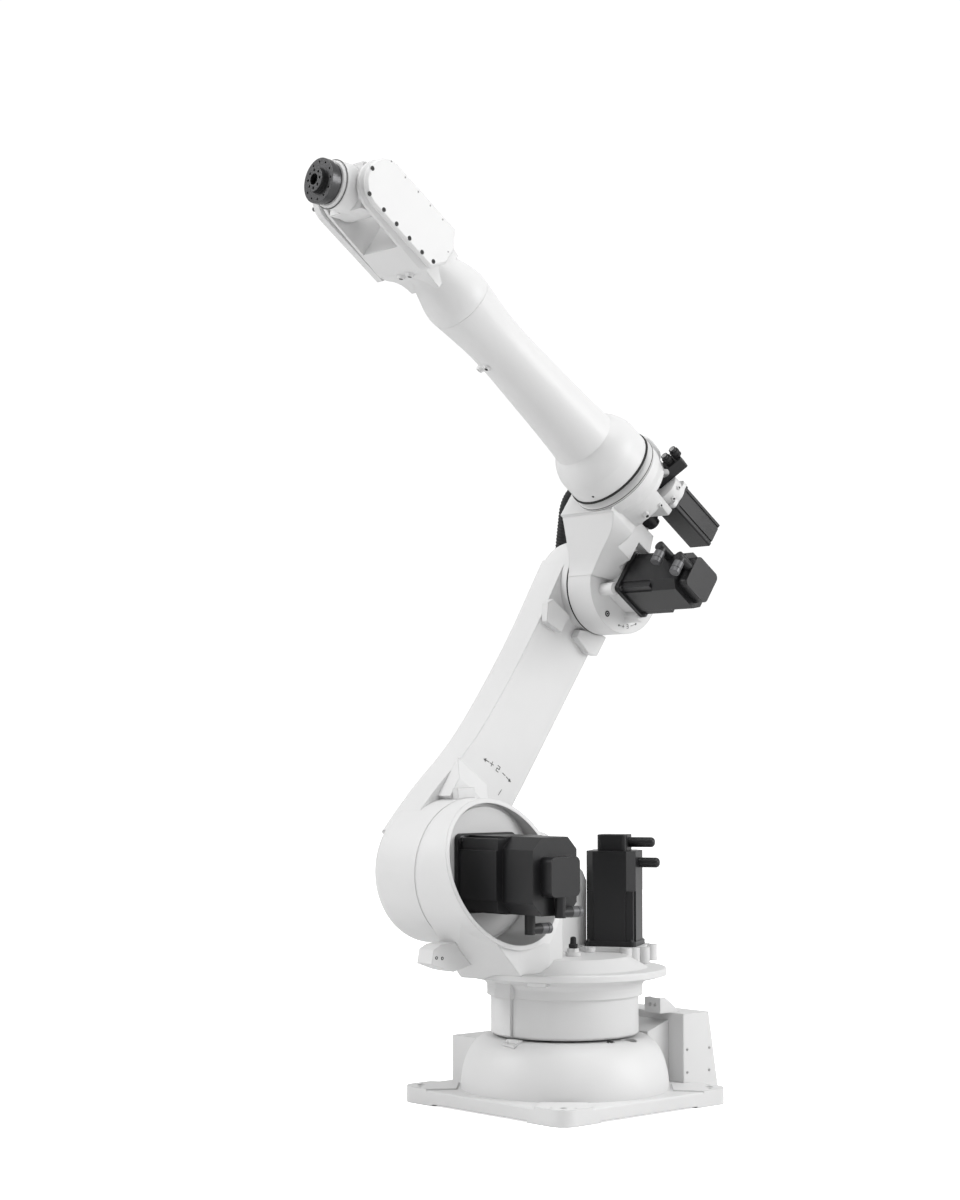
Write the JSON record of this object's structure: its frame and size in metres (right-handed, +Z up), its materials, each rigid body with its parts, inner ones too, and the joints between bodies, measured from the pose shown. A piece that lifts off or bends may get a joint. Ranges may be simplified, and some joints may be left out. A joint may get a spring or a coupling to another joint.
{
  "type": "six-axis industrial robot arm",
  "caption": "Floor-mounted articulated robot arm with a drum shoulder, slanted lower arm, long tapered forearm, forked wrist and a bolted tool flange.",
  "frame": {"origin": "centre of the four floor bolts on the underside of the base plate, on the axis of joint 1", "axes": "+X forward over the tool, +Y to the side that the shoulder and elbow motors face, +Z up along joint 1"},
  "size_m": [1.1887, 0.5987, 2.0887],
  "materials": {
    "white_iron": "satin white paint on cast iron",
    "white_aluminium": "satin white paint on cast aluminium",
    "motor_black": "black satin paint",
    "dark_steel": "blackened steel"
  },
  "bodies": {
    "base": {"base_casting": "white_iron", "connector_box": "white_iron", "connector_panel": "white_aluminium", "cable_bracket": "white_aluminium", "zero_block": "white_iron", "j1_reducer": "dark_steel"},
    "carousel": {"turntable": "white_iron", "shoulder_housing": "white_iron", "shoulder_plate": "white_iron", "j2_reducer": "dark_steel", "j2_motor": "motor_black", "j2_encoder": "motor_black", "j2_motor_plugs": "motor_black", "j1_motor_mount": "white_iron", "j1_motor": "motor_black", "j1_encoder": "motor_black", "j1_motor_plugs": "motor_black", "stop_bumper": "white_iron", "pointer_strip": "white_aluminium", "cable_gland": "white_aluminium"},
    "lower_arm": {"lower_arm_casting": "white_iron", "j3_reducer": "dark_steel", "stop_blocks": "white_iron", "shoulder_stop_tab": "white_iron", "hose_gland": "motor_black"},
    "upper_arm": {"elbow_casting": "white_iron", "j3_motor": "motor_black", "j3_encoder": "motor_black", "j3_motor_plugs": "motor_black", "j4_motor": "motor_black", "j4_ring": "white_aluminium", "connector_block": "motor_black", "axis4_gland": "motor_black", "elbow_hose": "motor_black", "hose_collar": "motor_black"},
    "forearm": {"forearm_tube": "white_aluminium", "wrist_fork": "white_aluminium", "cover_left": "white_aluminium", "cover_right": "white_aluminium"},
    "hand": {"wrist_housing": "white_aluminium", "j6_ring": "white_aluminium"},
    "tool": {"tool_flange": "dark_steel"}
  },
  "joints": [
    {"name": "axis_1", "type": "hinge", "parent": "base", "child": "carousel", "pos_m": [0, 0, 0.16], "axis": [0, 0, 1], "range_deg": [-180, 180]},
    {"name": "axis_2", "type": "hinge", "parent": "carousel", "child": "lower_arm", "pos_m": [0.22, 0, 0.534], "axis": [0, 1, 0], "range_deg": [-25, 115]},
    {"name": "axis_3", "type": "hinge", "parent": "lower_arm", "child": "upper_arm", "pos_m": [-0.25492, 0, 1.21226], "axis": [0, -1, 0], "range_deg": [-75, 80]},
    {"name": "axis_4", "type": "hinge", "parent": "upper_arm", "child": "forearm", "pos_m": [-0.35128, 0, 1.34987], "axis": [0.8192, 0, 0.5736], "range_deg": [-180, 180]},
    {"name": "axis_5", "type": "hinge", "parent": "forearm", "child": "hand", "pos_m": [0.61532, 0, 2.0267], "axis": [0, 1, 0], "range_deg": [-151, 89]},
    {"name": "axis_6", "type": "hinge", "parent": "hand", "child": "tool", "pos_m": [0.61532, 0, 2.0267], "axis": [0.9976, 0, 0.0698], "range_deg": [-360, 360]}
  ]
}
